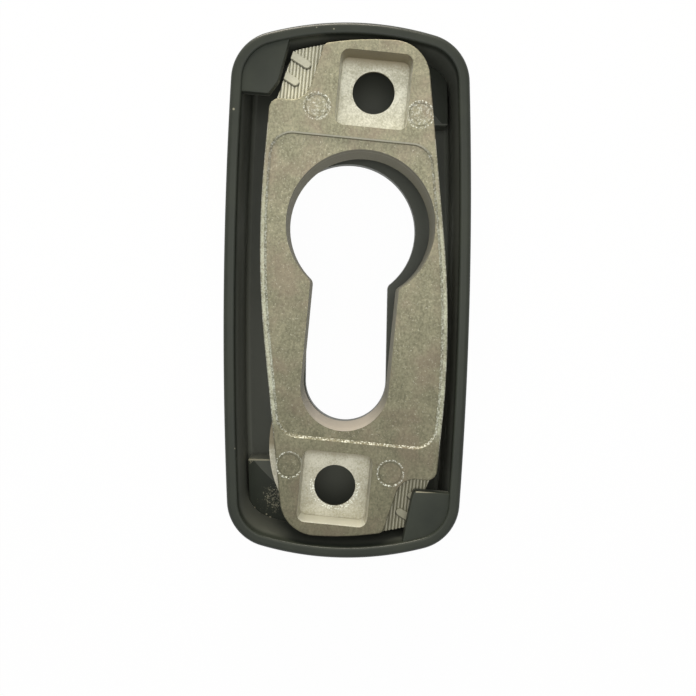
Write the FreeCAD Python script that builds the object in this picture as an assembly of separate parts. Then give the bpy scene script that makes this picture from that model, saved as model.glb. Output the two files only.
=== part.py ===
import FreeCAD, Part
import math
import os

# Lock-cylinder escutcheon in two pieces: a hollow cover and the die-cast sub-plate that holds it on a door.
# Frame: x to the right as seen from the room, z up, the door's face at y = 0 and the room towards -y.
# The origin is on the axis of the keyhole's round part, in the plane of the door's face.
# Lengths are millimetres and angles are degrees.

# The screws and the keyhole set the sub-plate's size, and the sub-plate sets the cover's.
screw_pitch = 50.0
key_radius = 9.25
key_slot_width = 11.04
key_screw_margin = 7.5
key_neck_round = 1.0

# Sub-plate, seen in plan.
plate_key_wall = 3.3
plate_screw_margin = 5.95
plate_thickness = 7.2
plate_end_radius = 38.0
plate_end_shift = 3.0
plate_corner_radius = 4.6
plate_side_lean = 10.9
plate_belly_radius = 120.0
plate_belly_rise = 7.6
plate_edge_round = 0.2
plate_key_length = screw_pitch - 2 * key_screw_margin
half_plate = key_radius + plate_key_wall
plate_end = screw_pitch / 2 + plate_screw_margin
# Notches in two opposite corners of the sub-plate, with a lower serrated ramp in each.
notch_length = 8.35
notch_wall_inset = 4.35
notch_wall_lean = 13.2
notch_inner_round = 2.4
notch_foot_round = 1.3
notch_tip_round = 0.8
lug_ramp_gap = 0.3
ramp_foot_inset = 0.55
ramp_edge_lean = 14.0
ramp_tip_round = 0.8
ramp_tip_stand_out = 0.45
notch_foot = plate_end - notch_length
# Fine grooves along each ramp, as V cuts.
groove_pitch = 0.43
groove_width = 0.34
groove_depth = 0.15
# Raised teeth across each ramp: how far the round inner end stands from the side and from the end.
tooth_insets = ((3.95, 3.5), (2.7, 5.75))
tooth_length = 4.6
tooth_width = 1.0
tooth_height = 0.18
tooth_lean = 27.0
# Shallow field around the keyhole.
field_end_margin = 1.3
field_border = 0.5
field_depth = 0.35
field_slope = 0.3
field_corner_round = 2.8
field_end = plate_key_length / 2 + field_end_margin
# Screw holes: a square pocket at the back, a thin seat, and a countersink that opens into a counterbore.
screw_hole_radius = 2.65
screw_head_radius = 4.4
screw_seat_wall = 0.4
pocket_width = 8.9
pocket_length = 9.2
pocket_shift = 0.25
pocket_depth = 2.6
pocket_draft = 0.25
pocket_corner_radius = 1.1
# Ejector marks: how far from the +x side and from the upper end, repeated half a turn away.
ejector_insets = ((5.8, 8.85), (18.5, 8.65))
ejector_radius = 1.6
ejector_depth = 0.1
# Gate stub on the lower +x side: heights above the lower end where it starts, stands out most and ends.
gate_top = 14.35
gate_middle = 9.4
gate_foot = 3.4
gate_stand_out = 1.1
gate_root_reach = 4.4
gate_back = 3.0
gate_front_inset = 0.8
gate_front = plate_thickness - gate_front_inset

# Cover, in section.
cover_depth = 12.3
cover_front_wall = 1.7
cover_rim_wall = 1.42
cover_front_round = 2.2
cover_rim_round = 0.5
cover_floor_round = 0.7
cover_mouth_chamfer = 0.15
# Cover, seen in plan.
plate_side_gap = 1.31
plate_end_gap = 0.805
cover_side_radius = 530.0
cover_end_radius = 38.5
cover_corner_radius = 5.95
half_cover = half_plate + plate_side_gap + cover_rim_wall
cover_end = plate_end + plate_end_gap + cover_rim_wall
# Cover's keyhole through the front wall, a little larger than the sub-plate's.
cover_key_length_gain = 0.5
cover_key_slot_gain = 0.16
cover_key_length = plate_key_length + cover_key_length_gain
cover_key_slot_width = key_slot_width + cover_key_slot_gain
key_edge_round = 0.25
# Lugs: two thin shelves in opposite corners of the cover's mouth, the upper one a little smaller. Each has
# the inset of its tip from the cover's side, then the inset of its knee and of its foot with their heights
# above the foot of the sub-plate's notch.
lug_inset = 0.3
lug_thickness = 1.4
upper_lug = (8.38, (6.48, 3.4), (5.3, 1.8))
lower_lug = (8.16, (6.68, 2.7), (6.4, 1.9))
# Pads: two raised blocks in the other two corners of the cover's floor, placed from its side and its end.
pad_inner_inset = 9.48
pad_side_gap = 0.85
pad_foot_inset = 10.675
pad_seat_gap = 0.15

# How the sub-plate lies in the cover: turned and a little off the cover's middle.
rest_turn = 4.66
rest_shift_x = -0.9
rest_shift_z = 0.38

# The cover's middle lies this far below the keyhole's round centre.
key_rise = cover_key_length / 2 - key_radius
floor_depth = cover_depth - cover_front_wall
ramp_depth = lug_inset + lug_thickness + lug_ramp_gap
pad_depth = plate_thickness + pad_seat_gap
# Forwards is away from the door; cutters run this far past what they cut.
forward = FreeCAD.Vector(0, -1, 0)
past = 1.0
tiny = 1e-4


def at(x, z, depth):
    """Point at x and z, a depth in front of the door's face."""
    return FreeCAD.Vector(x, -depth, z)


def line(a, b):
    """Straight edge."""
    return Part.LineSegment(a, b).toShape()


def arc(a, b, c):
    """Circular edge from a to c through b."""
    return Part.Arc(a, b, c).toShape()


def slab(wire, thickness):
    """Solid of a closed wire carried forwards, away from the door, by a thickness."""
    return Part.Face(wire).extrude(FreeCAD.Vector(0, -thickness, 0))


def polygon_slab(points, start, thickness):
    """Solid of straight-sided points (x, z) between two depths."""
    corners = [at(x, z, start) for x, z in points]
    return slab(Part.makePolygon(corners + [corners[0]]), thickness)


def half_turn(shape):
    """The same shape half a turn away about the middle."""
    turned = shape.copy()
    turned.rotate(FreeCAD.Vector(0, 0, 0), FreeCAD.Vector(0, 1, 0), 180)
    return turned


def both_ways(shape):
    """A shape with its twin half a turn away."""
    return [shape, half_turn(shape)]


def both_places(x, z):
    """A place in plan with its twin half a turn away."""
    return [(x, z), (-x, -z)]


def corner_edge(shape, x, z):
    """The edge running from back to front that stands nearest to a place in plan."""
    upright = [edge for edge in shape.Edges
               if edge.BoundBox.XLength < tiny and edge.BoundBox.ZLength < tiny]
    return min(upright, key=lambda edge: math.hypot(edge.BoundBox.XMin - x, edge.BoundBox.ZMin - z))


def round_corners(shape, radius, places):
    """The shape with its back-to-front edges nearest to the places in plan rounded, one after another."""
    for x, z in places:
        shape = shape.makeFillet(radius, [corner_edge(shape, x, z)])
    return shape


def edges_at_depth(shape, depth, reach=2 * cover_end):
    """Edges that lie wholly in the plane at a depth, and no further than a reach from the middle."""
    found = []
    for edge in shape.Edges:
        box = edge.BoundBox
        in_plane = box.YLength < tiny and abs(box.YMin + depth) < tiny
        if in_plane and max(abs(box.XMin), abs(box.XMax), abs(box.ZMin), abs(box.ZMax)) < reach + tiny:
            found.append(edge)
    return found


def circle_meeting(a, radius_a, b, radius_b):
    """The higher meeting point of two circles, each given as (x, z) and radius."""
    dx = b[0] - a[0]
    dz = b[1] - a[1]
    gap = math.hypot(dx, dz)
    along = (radius_a ** 2 - radius_b ** 2 + gap ** 2) / (2 * gap)
    aside = math.sqrt(radius_a ** 2 - along ** 2)
    foot = (a[0] + along * dx / gap, a[1] + along * dz / gap)
    left = (foot[0] - aside * dz / gap, foot[1] + aside * dx / gap)
    right = (foot[0] + aside * dz / gap, foot[1] - aside * dx / gap)
    return max(left, right, key=lambda place: place[1])


def cover_outline(inset, depth):
    """The cover's outline of eight tangent arcs about its own middle, moved inwards by an inset."""
    half_width = half_cover - inset
    half_length = cover_end - inset
    side_radius = cover_side_radius - inset
    end_radius = cover_end_radius - inset
    corner_radius = cover_corner_radius - inset
    side_middle = (half_width - side_radius, 0.0)
    end_middle = (0.0, half_length - end_radius)
    corner = circle_meeting(side_middle, side_radius - corner_radius, end_middle, end_radius - corner_radius)
    side_angle = math.atan2(corner[1], corner[0] - side_middle[0])
    end_angle = math.atan2(corner[1] - end_middle[1], corner[0])
    middle_angle = (side_angle + end_angle) / 2
    on_corner = [(corner[0] + corner_radius * math.cos(t), corner[1] + corner_radius * math.sin(t))
                 for t in (side_angle, middle_angle, end_angle)]
    edges = []
    for sx, sz in ((1, 1), (-1, 1), (-1, -1), (1, -1)):
        edges.append(arc(*[at(sx * x, sz * z, depth) for x, z in on_corner]))
    for sx in (1, -1):
        low = at(sx * on_corner[0][0], -on_corner[0][1], depth)
        high = at(sx * on_corner[0][0], on_corner[0][1], depth)
        edges.append(arc(low, at(sx * half_width, 0, depth), high))
    for sz in (1, -1):
        left = at(-on_corner[2][0], sz * on_corner[2][1], depth)
        right = at(on_corner[2][0], sz * on_corner[2][1], depth)
        edges.append(arc(left, at(0, sz * half_length, depth), right))
    return Part.Wire(Part.__sortEdges__(edges))


def keyhole(slot_width, length, start, thickness):
    """Cutter for a keyhole centred on the middle: a round top and a round-ended slot below, neck rounded."""
    top = length / 2
    round_z = top - key_radius
    slot_half = slot_width / 2
    slot_z = slot_half - length / 2
    neck_z = round_z - math.sqrt(key_radius ** 2 - slot_half ** 2)
    edges = [
        arc(at(slot_half, neck_z, start), at(0, top, start), at(-slot_half, neck_z, start)),
        line(at(-slot_half, neck_z, start), at(-slot_half, slot_z, start)),
        arc(at(-slot_half, slot_z, start), at(0, -top, start), at(slot_half, slot_z, start)),
        line(at(slot_half, slot_z, start), at(slot_half, neck_z, start)),
    ]
    cutter = slab(Part.Wire(edges), thickness)
    return round_corners(cutter, key_neck_round, [(slot_half, neck_z), (-slot_half, neck_z)])


def lug(tip_inset, knee, foot):
    """A lug in the upper +x corner of the mouth: a thin slab with a leaning inner edge and a knee."""
    top = cover_end
    foot_z = notch_foot + foot[1]
    points = [(half_cover - foot[0], foot_z), (half_cover - knee[0], notch_foot + knee[1]),
              (half_cover - tip_inset, top), (half_cover, top), (half_cover, foot_z)]
    return polygon_slab(points, lug_inset, lug_thickness)


def make_cover():
    """The hollow cover about its own middle: shell, keyhole, corner lugs and floor pads."""
    shell = slab(cover_outline(0, 0), cover_depth)
    shell = shell.makeFillet(cover_front_round, edges_at_depth(shell, cover_depth))
    shell = shell.makeFillet(cover_rim_round, edges_at_depth(shell, 0))
    cavity = slab(cover_outline(cover_rim_wall, -past), floor_depth + past)
    cavity = cavity.makeFillet(cover_floor_round, edges_at_depth(cavity, floor_depth))
    mouth = slab(cover_outline(cover_rim_wall - cover_mouth_chamfer, -past), cover_mouth_chamfer + past)
    mouth = mouth.makeChamfer(cover_mouth_chamfer, edges_at_depth(mouth, cover_mouth_chamfer))
    shell = shell.cut(cavity).cut(mouth)
    within = slab(cover_outline(cover_rim_wall / 2, 0), cover_depth)
    pad_side = half_cover - cover_rim_wall - pad_side_gap
    pad_inner = half_cover - pad_inner_inset
    pad_foot = cover_end - pad_foot_inset
    pad = polygon_slab([(-pad_inner, pad_foot), (-pad_inner, cover_end), (-pad_side, cover_end),
                        (-pad_side, pad_foot)], pad_depth, floor_depth + cover_front_wall / 2 - pad_depth)
    for shape in [lug(*upper_lug), half_turn(lug(*lower_lug))] + both_ways(pad):
        shell = shell.fuse(shape.common(within))
    shell = shell.cut(keyhole(cover_key_slot_width, cover_key_length,
                              floor_depth - past, cover_front_wall + 2 * past))
    shell = shell.makeFillet(key_edge_round, edges_at_depth(shell, cover_depth, cover_key_length / 2))
    return shell.removeSplitter()


def leaning_side(inset):
    """Where the sub-plate's straight leaning side meets its belly arc, moved inwards by an inset: (x, z)."""
    lean = math.radians(plate_side_lean)
    radius = plate_belly_radius - inset
    x = half_plate - inset - radius * (1 - math.cos(lean))
    return (x, radius * math.sin(lean) + plate_belly_rise - notch_foot)


def side_reach(z, inset=0.0):
    """How far the sub-plate's straight leaning side stands from the middle line at height z."""
    x, foot = leaning_side(inset)
    return x - math.tan(math.radians(plate_side_lean)) * (z - foot)


def plate_sides(inset, start, thickness):
    """Prism between the sub-plate's sides, each a leaning line, a belly arc, a straight and a ramp edge."""
    over = plate_end + past
    half_width = half_plate - inset
    belly_end = plate_belly_rise - notch_foot
    belly_x, belly_z = leaning_side(inset)
    radius = plate_belly_radius - inset
    half_lean = math.radians(plate_side_lean) / 2
    middle_x = half_width - radius * (1 - math.cos(half_lean))
    middle_z = radius * math.sin(half_lean) + belly_end
    ramp_x = half_plate - ramp_foot_inset - inset
    ramp_end = ramp_x - math.tan(math.radians(ramp_edge_lean)) * (over - notch_foot)
    edges = []
    for s in (1, -1):
        top = at(-s * side_reach(over, inset), s * over, start)
        belly_top = at(-s * belly_x, s * belly_z, start)
        belly_foot = at(-s * half_width, s * belly_end, start)
        side_foot = at(-s * half_width, -s * notch_foot, start)
        ramp_foot = at(-s * ramp_x, -s * notch_foot, start)
        ramp_tip = at(-s * ramp_end, -s * over, start)
        next_top = at(s * side_reach(over, inset), -s * over, start)
        edges.append(line(top, belly_top))
        edges.append(arc(belly_top, at(-s * middle_x, s * middle_z, start), belly_foot))
        edges.append(line(belly_foot, side_foot))
        edges.append(line(side_foot, ramp_foot))
        edges.append(line(ramp_foot, ramp_tip))
        edges.append(line(ramp_tip, next_top))
    return slab(Part.Wire(edges), thickness)


def end_disc(gain, start, thickness):
    """Round plate whose edge is the sub-plate's upper end moved out by a gain; its twin is the lower."""
    middle = at(-plate_end_shift, plate_end - plate_end_radius, start)
    return Part.makeCylinder(plate_end_radius + gain, thickness, middle, forward)


def notch_points():
    """Notch in the upper +x corner: inner corner, wall end and two points past the outline."""
    over = plate_end + past
    inner = half_plate - notch_wall_inset
    wall_end = inner - math.tan(math.radians(notch_wall_lean)) * (over - notch_foot)
    outside = half_plate + past
    return [(inner, notch_foot), (wall_end, over), (outside, over), (outside, notch_foot)]


def notch_cutter(start, thickness):
    """Prism of the notch with its inner corner rounded."""
    cutter = polygon_slab(notch_points(), start, thickness)
    return round_corners(cutter, notch_inner_round, [notch_points()[0]])


def plate_layer(gain, start, thickness):
    """The sub-plate's outline between two depths, its ends moved out by a gain."""
    layer = plate_sides(0, start, thickness)
    for disc in both_ways(end_disc(gain, start, thickness)):
        layer = layer.common(disc)
    return layer


def plate_blank():
    """The sub-plate in two layers: down to the ramps' tops with open notches, and below with the ramps."""
    corners = both_places(-side_reach(plate_end), plate_end)
    back = round_corners(plate_layer(0, 0, ramp_depth), plate_corner_radius, corners)
    for cutter in both_ways(notch_cutter(-past, plate_thickness)):
        back = back.cut(cutter)
    back = round_corners(back, notch_tip_round, both_places(*notch_points()[1]))
    back = round_corners(back, notch_foot_round, both_places(half_plate, notch_foot))
    back = back.makeFillet(plate_edge_round, edges_at_depth(back, 0))
    ramp_thickness = plate_thickness - ramp_depth
    front = round_corners(plate_layer(0, ramp_depth, ramp_thickness), plate_corner_radius, corners)
    ramps = plate_layer(ramp_tip_stand_out, ramp_depth, ramp_thickness)
    ramps = round_corners(ramps, ramp_tip_round, both_places(half_plate - ramp_foot_inset, plate_end))
    for cutter in both_ways(notch_cutter(ramp_depth, ramp_thickness)):
        front = front.cut(cutter).fuse(ramps.common(cutter))
    return back.fuse(front).removeSplitter()


def rounded_rectangle(half_width, half_length, radius, z, depth):
    """Wire of a rectangle with round corners about x = 0 and a height z."""
    edges = []
    turn = math.sqrt(0.5) * radius
    for sx, sz in ((1, 1), (-1, 1), (-1, -1), (1, -1)):
        cx = sx * (half_width - radius)
        cz = z + sz * (half_length - radius)
        edges.append(arc(at(cx + sx * radius, cz, depth), at(cx + sx * turn, cz + sz * turn, depth),
                         at(cx, cz + sz * radius, depth)))
    for s in (1, -1):
        edges.append(line(at(s * half_width, z - half_length + radius, depth),
                          at(s * half_width, z + half_length - radius, depth)))
        edges.append(line(at(radius - half_width, z + s * half_length, depth),
                          at(half_width - radius, z + s * half_length, depth)))
    return Part.Wire(Part.__sortEdges__(edges))


def screw_place():
    """Cutters of the upper screw place: square pocket, hole, 90 degree countersink and counterbore."""
    z = screw_pitch / 2
    pocket_z = z - pocket_shift
    mouth = rounded_rectangle(pocket_width / 2, pocket_length / 2, pocket_corner_radius, pocket_z, 0)
    floor = rounded_rectangle(pocket_width / 2 - pocket_draft, pocket_length / 2 - pocket_draft,
                              pocket_corner_radius - pocket_draft, pocket_z, pocket_depth)
    seat = pocket_depth + screw_seat_wall
    sink = screw_head_radius - screw_hole_radius
    hole = Part.makeCylinder(screw_hole_radius, plate_thickness + 2 * past, at(0, z, -past), forward)
    cone = Part.makeCone(screw_hole_radius, screw_head_radius, sink, at(0, z, seat), forward)
    bore = Part.makeCylinder(screw_head_radius, plate_thickness, at(0, z, seat + sink), forward)
    return [Part.makeLoft([mouth, floor], True, True), hole, cone, bore]


def groove(x, height):
    """V cutter of one fine groove that runs up the upper ramp at a reach x."""
    half = groove_width / 2
    left = at(x - half, notch_foot, ramp_depth)
    right = at(x + half, notch_foot, ramp_depth)
    section = Part.makePolygon([left, right, at(x, notch_foot, ramp_depth + groove_depth), left])
    return Part.Face(section).extrude(FreeCAD.Vector(0, 0, height))


def tooth(x, z):
    """A raised tooth of the upper ramp: round inner end at (x, z), leaning outwards and up."""
    half = tooth_width / 2
    top = ramp_depth - tooth_height
    edges = [
        arc(at(x, z + half, top), at(x - half, z, top), at(x, z - half, top)),
        line(at(x, z - half, top), at(x + tooth_length, z - half, top)),
        line(at(x + tooth_length, z - half, top), at(x + tooth_length, z + half, top)),
        line(at(x + tooth_length, z + half, top), at(x, z + half, top)),
    ]
    bar = slab(Part.Wire(edges), tooth_height + 2 * groove_depth)
    bar.rotate(at(x, z, 0), forward, tooth_lean)
    return bar


def ramp_grooves():
    """Cutters of the upper ramp's row of fine grooves."""
    region = notch_cutter(ramp_depth - groove_depth, 2 * groove_depth)
    wall_end = notch_points()[1][0]
    count = int((half_plate - ramp_foot_inset - wall_end) / groove_pitch)
    return [groove(wall_end + i * groove_pitch, notch_length + past).common(region)
            for i in range(1, count + 1)]


def ramp_teeth():
    """The upper ramp's teeth, cut off at the ramp's own edges."""
    region = plate_layer(ramp_tip_stand_out, 0, plate_thickness).common(notch_cutter(0, plate_thickness))
    return [tooth(half_plate - x, plate_end - z).common(region) for x, z in tooth_insets]


def gate_stub():
    """Broken-off casting gate on the lower +x side, between two depths below the back face."""
    top = gate_top - plate_end
    middle = gate_middle - plate_end
    foot = gate_foot - plate_end
    start = at(side_reach(-top), top, gate_back)
    end = at(side_reach(-foot), foot, gate_back)
    root_top = at(gate_root_reach, top, gate_back)
    root_foot = at(gate_root_reach, foot, gate_back)
    edges = [arc(start, at(side_reach(-middle) + gate_stand_out, middle, gate_back), end),
             line(end, root_foot), line(root_foot, root_top), line(root_top, start)]
    return slab(Part.Wire(edges), gate_front - gate_back)


def field_cutter():
    """Shallow field round the keyhole: between the sides moved inwards, cut off square, its edge sloping."""
    thickness = field_depth + past
    band = polygon_slab([(half_plate, field_end), (-half_plate, field_end),
                         (-half_plate, -field_end), (half_plate, -field_end)], -past, thickness)
    field = plate_sides(field_border, -past, thickness).common(band)
    corners = both_places(side_reach(field_end), -field_end) + both_places(half_plate, field_end)
    field = round_corners(field, field_corner_round, corners)
    return field.makeChamfer(field_slope, edges_at_depth(field, field_depth))


def make_base_plate():
    """The sub-plate about its own middle, its screw line upright."""
    plate = plate_blank().fuse(gate_stub())
    plate = plate.cut(field_cutter())
    plate = plate.cut(keyhole(key_slot_width, plate_key_length, -past, plate_thickness + 2 * past))
    marks = screw_place() + ramp_grooves()
    for x, z in ejector_insets:
        middle = at(half_plate - x, plate_end - z, 0)
        marks.append(Part.makeCylinder(ejector_radius, ejector_depth, middle, forward))
    for mark in marks:
        for cutter in both_ways(mark):
            plate = plate.cut(cutter)
    for bar in ramp_teeth():
        for shape in both_ways(bar):
            plate = plate.fuse(shape)
    return plate.removeSplitter()


if __name__ == "__main__":
    os.makedirs("parts", exist_ok=True)
    cover = make_cover()
    cover.translate(FreeCAD.Vector(0, 0, -key_rise))
    plate = make_base_plate()
    plate.rotate(FreeCAD.Vector(0, 0, 0), forward, rest_turn)
    plate.translate(FreeCAD.Vector(rest_shift_x, 0, rest_shift_z - key_rise))
    for name, shape in (("cover", cover), ("base_plate", plate)):
        solid = shape.Solids[0]
        print(name, shape.isValid(), len(shape.Solids), round(solid.Volume, 1), solid.BoundBox)
        solid.exportStep("parts/" + name + ".step")
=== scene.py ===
"""Looks of a keyhole escutcheon that lies on its face: a black moulded cover and its raw die-cast sub-plate.

Sizes in the classes are millimetres and angles degrees. The frame and the meshes are metres, x to the right as
seen from the room, z up, and the room towards -y, so a depth in front of the door's face is -y. A range in a
finish is where a look starts and where it is full, and then how much there is of it at each.
"""

import logging
import math
from dataclasses import dataclass, field
from enum import Enum

import bmesh
import bpy
import numpy as np
from mathutils import Matrix, Vector


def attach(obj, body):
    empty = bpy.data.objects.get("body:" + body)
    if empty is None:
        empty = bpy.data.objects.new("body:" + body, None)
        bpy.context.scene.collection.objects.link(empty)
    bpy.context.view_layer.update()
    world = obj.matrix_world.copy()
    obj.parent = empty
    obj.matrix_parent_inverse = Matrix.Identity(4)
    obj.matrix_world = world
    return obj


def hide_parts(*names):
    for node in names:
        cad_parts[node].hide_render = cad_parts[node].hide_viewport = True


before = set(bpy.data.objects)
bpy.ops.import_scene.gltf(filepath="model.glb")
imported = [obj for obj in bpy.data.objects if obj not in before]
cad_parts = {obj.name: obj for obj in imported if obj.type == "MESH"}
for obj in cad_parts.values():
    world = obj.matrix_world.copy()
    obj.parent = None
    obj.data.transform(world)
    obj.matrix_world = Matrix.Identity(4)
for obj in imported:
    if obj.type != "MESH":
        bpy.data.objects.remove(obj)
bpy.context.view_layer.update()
LOG = logging.getLogger("escutcheon")
MM = 0.001
LEAST = 1e-9

Points = np.ndarray
Nodes = bpy.types.NodeTree
Socket = bpy.types.NodeSocket
Value = Socket | float | tuple


class Shading(Enum):
    """How a mesh's faces are shaded: the angle between two of them past which their edge is sharp."""

    SOFT = 35.0
    CRISP = 24.0


class Test(Enum):
    """How a place is tried against a bound: under it, over it, or within a half width of a middle."""

    UNDER = "LESS_THAN"
    OVER = "GREATER_THAN"
    ABOUT = "COMPARE"


def linear(hex_colour: str) -> tuple[float, float, float, float]:
    """Turns an sRGB hex colour into linear light.

    Args:
        hex_colour: six hex digits after a hash sign.

    Returns:
        Linear red, green, blue and an alpha of one.
    """
    parts = [int(hex_colour[i:i + 2], 16) / 255 for i in (1, 3, 5)]
    red, green, blue = [c / 12.92 if c <= 0.04045 else ((c + 0.055) / 1.055) ** 2.4 for c in parts]
    return (red, green, blue, 1.0)


def add_node(tree: Nodes, kind: str, *values: Value, inputs: dict | None = None, **settings: object) -> Socket:
    """Adds a shader node with its settings and links.

    Values past its last input go on to a further node of the same kind, after this one's output, so that one
    call can multiply a row of values or take the most of them.

    Args:
        tree: the node tree that takes it.
        kind: Blender's name of the node's type, without ShaderNode in front.
        values: values or sockets for the inputs that it shows, in order.
        inputs: values or sockets for other inputs, by name.
        settings: attributes of the node, by name.

    Returns:
        The first output that it shows, or nothing where it has none.
    """
    node = tree.nodes.new("ShaderNode" + kind)
    for name, setting in settings.items():
        setattr(node, name, setting)
    shown = [socket for socket in node.inputs if socket.enabled]
    named = [(node.inputs[name], value) for name, value in (inputs or {}).items()]
    for socket, value in [*zip(shown, values), *named]:
        if isinstance(value, Socket):
            tree.links.new(value, socket)
        else:
            socket.default_value = value
    output = next((socket for socket in node.outputs if socket.enabled), None)
    more = values[len(shown):]
    return add_node(tree, kind, output, *more, **settings) if more else output


def new_material(name: str) -> tuple[bpy.types.Material, Nodes]:
    """Makes an empty node material and returns it with its tree."""
    material = bpy.data.materials.new(name)
    material.use_nodes = True
    material.node_tree.nodes.clear()
    return material, material.node_tree


def paint(tree: Nodes, colour: Value, *coats: tuple[Value, Value | str]) -> Socket:
    """Lays coats over a colour in order.

    Args:
        tree: the node tree.
        colour: the colour below, linear.
        coats: how much each coat hides, with its colour as a socket or as sRGB hex.

    Returns:
        The colour on top.
    """
    for share, coat in coats:
        above = linear(coat) if isinstance(coat, str) else coat
        colour = add_node(tree, "Mix", share, colour, above, data_type="RGBA")
    return colour


def seen_rays(tree: Nodes) -> Socket:
    """One for camera, glossy and transmission rays, which see the pale background, and none for others."""
    path = add_node(tree, "LightPath").node.outputs
    seen = [path[f"Is {kind} Ray"] for kind in ("Camera", "Glossy", "Transmission")]
    return add_node(tree, "Math", *seen, operation="MAXIMUM")


@dataclass
class Oblong:
    """Outline of eight tangent arcs about the middle: two sides, two ends and four corners."""

    width: float
    length: float
    side_radius: float
    end_radius: float
    corner_radius: float

    def corner(self) -> np.ndarray:
        """Centre of the corner arc that touches the side arc and the end arc from inside.

        It is where circles of radii side_radius - corner_radius and end_radius - corner_radius about those
        arcs' centres meet.
        """
        side = np.array([self.width / 2 - self.side_radius, 0.0])
        end = np.array([0.0, self.length / 2 - self.end_radius])
        ra = self.side_radius - self.corner_radius
        rb = self.end_radius - self.corner_radius
        gap = np.linalg.norm(end - side)
        along = (ra ** 2 - rb ** 2 + gap ** 2) / (2 * gap)
        aside = math.sqrt(ra ** 2 - along ** 2)
        unit = (end - side) / gap
        return side + along * unit + aside * np.array([-unit[1], unit[0]])

    def at(self, angles: Points) -> tuple[Points, Points]:
        """Points and outward normals where rays from the middle leave the outline.

        A ray along unit d leaves a circle of centre c and radius r at t = c.d + sqrt((c.d)^2 - |c|^2 + r^2).

        Args:
            angles: polar angles in radians.

        Returns:
            Points and unit normals, each n by 2.
        """
        signs = np.c_[np.where(np.cos(angles) < 0, -1, 1), np.where(np.sin(angles) < 0, -1, 1)]
        rays = np.abs(np.c_[np.cos(angles), np.sin(angles)])
        corner = self.corner()
        side = np.array([self.width / 2 - self.side_radius, 0.0])
        end = np.array([0.0, self.length / 2 - self.end_radius])
        first = side + (corner - side) * self.side_radius / (self.side_radius - self.corner_radius)
        last = end + (corner - end) * self.end_radius / (self.end_radius - self.corner_radius)
        turn = np.arctan2(rays[:, 1], rays[:, 0])
        on_side = turn < math.atan2(first[1], first[0])
        on_end = turn > math.atan2(last[1], last[0])
        centres = np.where(on_side[:, None], side, np.where(on_end[:, None], end, corner))
        radii = np.where(on_side, self.side_radius, np.where(on_end, self.end_radius, self.corner_radius))
        points = rays * leave_circle(rays, centres, radii)[:, None]
        normals = (points - centres) / radii[:, None]
        return points * signs, normals * signs


def leave_circle(rays: Points, centres: Points, radii: Points, way: int = 1) -> Points:
    """How far rays from the middle run to a circle: t = c.d + way * sqrt((c.d)^2 - |c|^2 + r^2)."""
    along = (rays * centres).sum(1)
    inside = np.maximum(along ** 2 - (centres ** 2).sum(1) + radii ** 2, 0)
    return along + way * np.sqrt(inside)


@dataclass
class Keyhole:
    """Outline of a euro-profile keyhole centred on the middle, with its two neck corners rounded."""

    radius: float
    slot_width: float
    length: float
    neck_round: float

    def at(self, angles: Points) -> tuple[Points, Points]:
        """Points and normals into the metal where rays from the middle reach the keyhole's edge.

        The edge is the round part's circle above, a small circle at each neck, a straight side at half the
        slot's width and the slot's end circle below.

        Args:
            angles: polar angles in radians.

        Returns:
            Points and unit normals, each n by 2.
        """
        signs = np.c_[np.where(np.cos(angles) < 0, -1, 1), np.ones(len(angles))]
        rays = np.c_[np.abs(np.cos(angles)), np.sin(angles)]
        half = self.slot_width / 2
        ring = np.array([[0.0, self.length / 2 - self.radius]])
        foot = np.array([[0.0, half - self.length / 2]])
        reach = self.radius + self.neck_round
        neck_x = half + self.neck_round
        neck = np.array([[neck_x, ring[0, 1] - math.sqrt(reach ** 2 - neck_x ** 2)]])
        touch = ring[0] + (neck[0] - ring[0]) * self.radius / reach
        turn = np.arctan2(rays[:, 1], rays[:, 0])
        kinds = [turn > math.atan2(touch[1], touch[0]), turn > math.atan2(neck[0, 1], half),
                 turn > math.atan2(foot[0, 1], half)]
        size = np.ones(len(angles))
        reaches = [leave_circle(rays, ring, size * self.radius),
                   leave_circle(rays, neck, size * self.neck_round, -1), half / np.maximum(rays[:, 0], LEAST)]
        points = rays * np.select(kinds, reaches, leave_circle(rays, foot, size * half))[:, None]
        kinds = [k[:, None] for k in kinds]
        normals = np.select(kinds, [(points - ring) / self.radius, (neck - points) / self.neck_round,
                                    np.array([[1.0, 0.0]]) + 0 * points], (points - foot) / half)
        return points * signs, normals * signs


def place(plan: Points, depth: float | Points, middle: tuple[float, float]) -> Points:
    """Points in metres of plan points (x, z) about a middle, at a depth in front of the door's face."""
    depths = np.broadcast_to(np.asarray(depth, float), (len(plan),))
    return np.c_[plan[:, 0] + middle[0], -depths, plan[:, 1] + middle[1]] * MM


def quads(rings: int, around: int, closed: bool) -> np.ndarray:
    """Corner numbers of the quads between rings of points, each ring closed.

    Args:
        rings: number of rings.
        around: points in each ring.
        closed: whether the last ring joins the first.

    Returns:
        An array of quads, n by 4.
    """
    i = np.arange(rings if closed else rings - 1)[:, None]
    j = np.arange(around)[None, :]
    k = (i + 1) % rings
    n = (j + 1) % around
    return np.stack([i * around + j, i * around + n, k * around + n, k * around + j], axis=-1).reshape(-1, 4)


def signed_volume(points: Points, faces: np.ndarray) -> float:
    """Volume that quads enclose, positive where they face outwards: the sum of a.(b x c) / 6 over triangles."""
    a, b, c, d = (points[faces[:, i]] for i in range(4))
    return float((a * np.cross(b, c)).sum() + (a * np.cross(c, d)).sum()) / 6


def shade(mesh: bpy.types.Mesh, shading: Shading) -> None:
    """Shades a mesh smooth but for its sharp edges."""
    mesh.shade_smooth()
    mesh.set_sharp_from_angle(angle=math.radians(shading.value))


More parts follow.
